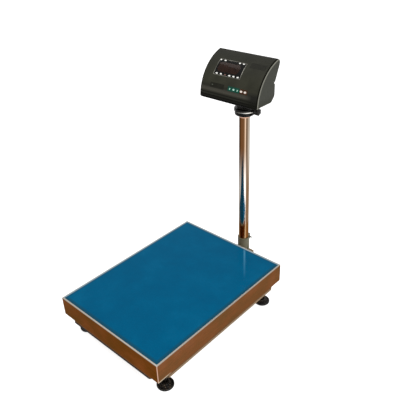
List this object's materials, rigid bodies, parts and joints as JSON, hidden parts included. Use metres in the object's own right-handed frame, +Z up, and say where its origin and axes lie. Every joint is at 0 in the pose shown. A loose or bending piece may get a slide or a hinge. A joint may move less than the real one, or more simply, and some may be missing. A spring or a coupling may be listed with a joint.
{
  "type": "platform scale",
  "caption": "Electronic floor platform scale: a flat sheet-steel platter over a load-cell base on levelling feet, with a rear column carrying a swivelling, tilting indicator head.",
  "frame": {"origin": "on the floor, under the middle of the whole object", "axes": "+X to the right across the platter, +Y to the back towards the column, +Z up"},
  "size_m": [0.45, 0.7145, 0.832],
  "materials": {
    "frame_paint": "satin powder coat",
    "zinc_steel": "bright zinc plate",
    "cell_aluminium": "machined, clear anodised",
    "rubber": "matte moulded",
    "foot_rubber": "satin moulded",
    "socket_steel": "matte grey paint",
    "stainless": "polished, reflects a warm room",
    "column_stainless": "polished tube",
    "blue_enamel": "semi-gloss baked enamel",
    "black_nylon": "glossy moulded",
    "charcoal_abs": "satin moulded",
    "display_acrylic": "dark tinted, polished",
    "led_block": "moulded",
    "circuit_board": "solder mask",
    "battery_case": "moulded",
    "transformer_iron": "laminated core, varnished",
    "socket_nickel": "nickel plate",
    "black_plastic": "moulded",
    "rocker_red": "moulded",
    "key_green": "moulded silicone",
    "key_cream": "moulded silicone"
  },
  "bodies": {
    "base": {"base_left_rail": "frame_paint", "base_right_rail": "frame_paint", "base_front_beam": "frame_paint", "base_rear_beam": "frame_paint", "base_centre_beam": "frame_paint", "foot_brackets": "frame_paint", "foot_lock_nuts": "zinc_steel", "load_cell": "cell_aluminium", "cell_lower_spacer": "frame_paint", "cell_upper_spacer": "frame_paint", "cell_bolts": "zinc_steel", "overload_stops": "zinc_steel", "stop_lock_nuts": "zinc_steel", "upper_left_rail": "frame_paint", "upper_right_rail": "frame_paint", "upper_front_beam": "frame_paint", "upper_rear_beam": "frame_paint", "upper_centre_beam": "frame_paint", "platter_cushions": "rubber", "column_arm": "frame_paint", "arm_bolts": "zinc_steel", "column_socket": "socket_steel", "socket_pinch_bolt": "zinc_steel"},
    "platter": {"platter_pan": "stainless", "platter_cover": "blue_enamel"},
    "column": {"column_tube": "column_stainless", "column_cap": "black_nylon"},
    "swivel": {"swivel_collar": "black_nylon"},
    "knob": {"swivel_knob": "black_nylon", "knob_screw": "zinc_steel"},
    "head": {"front_housing": "charcoal_abs", "rear_cover": "charcoal_abs", "tilt_bracket": "black_nylon", "tilt_bolt": "zinc_steel", "tilt_nut": "zinc_steel", "housing_screws": "zinc_steel", "display_window": "display_acrylic", "led_display": "led_block", "display_board": "circuit_board", "key_board": "circuit_board", "main_board": "circuit_board", "battery": "battery_case", "transformer": "transformer_iron", "cell_socket": "socket_nickel", "power_inlet": "black_plastic", "switch_frame": "black_plastic"},
    "rocker": {"power_rocker": "rocker_red"},
    "foot_front_left": {"foot_pad_front_left": "foot_rubber", "foot_stud_front_left": "zinc_steel"},
    "foot_front_right": {"foot_pad_front_right": "foot_rubber", "foot_stud_front_right": "zinc_steel"},
    "foot_rear_left": {"foot_pad_rear_left": "foot_rubber", "foot_stud_rear_left": "zinc_steel"},
    "foot_rear_right": {"foot_pad_rear_right": "foot_rubber", "foot_stud_rear_right": "zinc_steel"},
    "key_1": {"key_1": "key_green"},
    "key_2": {"key_2": "key_green"},
    "key_3": {"key_3": "key_green"},
    "key_4": {"key_4": "key_cream"},
    "key_5": {"key_5": "key_cream"}
  },
  "joints": [
    {"name": "platter_lift", "type": "slide", "parent": "base", "child": "platter", "axis": [0, 0, 1], "range_m": [0, 0.1]},
    {"name": "foot_front_left_height", "type": "slide", "parent": "base", "child": "foot_front_left", "axis": [0, 0, 1], "range_m": [-0.01, 0.01]},
    {"name": "foot_front_right_height", "type": "slide", "parent": "base", "child": "foot_front_right", "axis": [0, 0, 1], "range_m": [-0.01, 0.01]},
    {"name": "foot_rear_left_height", "type": "slide", "parent": "base", "child": "foot_rear_left", "axis": [0, 0, 1], "range_m": [-0.01, 0.01]},
    {"name": "foot_rear_right_height", "type": "slide", "parent": "base", "child": "foot_rear_right", "axis": [0, 0, 1], "range_m": [-0.01, 0.01]},
    {"name": "column_height", "type": "slide", "parent": "base", "child": "column", "axis": [0, 0, 1], "range_m": [0, 0.04]},
    {"name": "head_swivel", "type": "hinge", "parent": "column", "child": "swivel", "pos_m": [0, 0.32075, 0.648], "axis": [0, 0, 1], "range_deg": [-170, 170]},
    {"name": "head_tilt", "type": "hinge", "parent": "swivel", "child": "head", "pos_m": [0, 0.30475, 0.673], "axis": [1, 0, 0], "range_deg": [-25, 20]},
    {"name": "knob_turn", "type": "hinge", "parent": "swivel", "child": "knob", "pos_m": [0.048, 0.32075, 0.648], "axis": [1, 0, 0], "continuous": true},
    {"name": "rocker_tip", "type": "hinge", "parent": "head", "child": "rocker", "pos_m": [0.018, 0.31825, 0.73675], "axis": [1, 0, 0], "range_deg": [-20, 0]},
    {"name": "key_1_press", "type": "slide", "parent": "head", "child": "key_1", "axis": [0, 0.9444, -0.3289], "range_m": [0, 0.001], "stiffness_N_per_m": 1500, "springref_m": -0.0005},
    {"name": "key_2_press", "type": "slide", "parent": "head", "child": "key_2", "axis": [0, 0.9444, -0.3289], "range_m": [0, 0.001], "stiffness_N_per_m": 1500, "springref_m": -0.0005},
    {"name": "key_3_press", "type": "slide", "parent": "head", "child": "key_3", "axis": [0, 0.9444, -0.3289], "range_m": [0, 0.001], "stiffness_N_per_m": 1500, "springref_m": -0.0005},
    {"name": "key_4_press", "type": "slide", "parent": "head", "child": "key_4", "axis": [0, 0.9444, -0.3289], "range_m": [0, 0.001], "stiffness_N_per_m": 1500, "springref_m": -0.0005},
    {"name": "key_5_press", "type": "slide", "parent": "head", "child": "key_5", "axis": [0, 0.9444, -0.3289], "range_m": [0, 0.001], "stiffness_N_per_m": 1500, "springref_m": -0.0005}
  ]
}
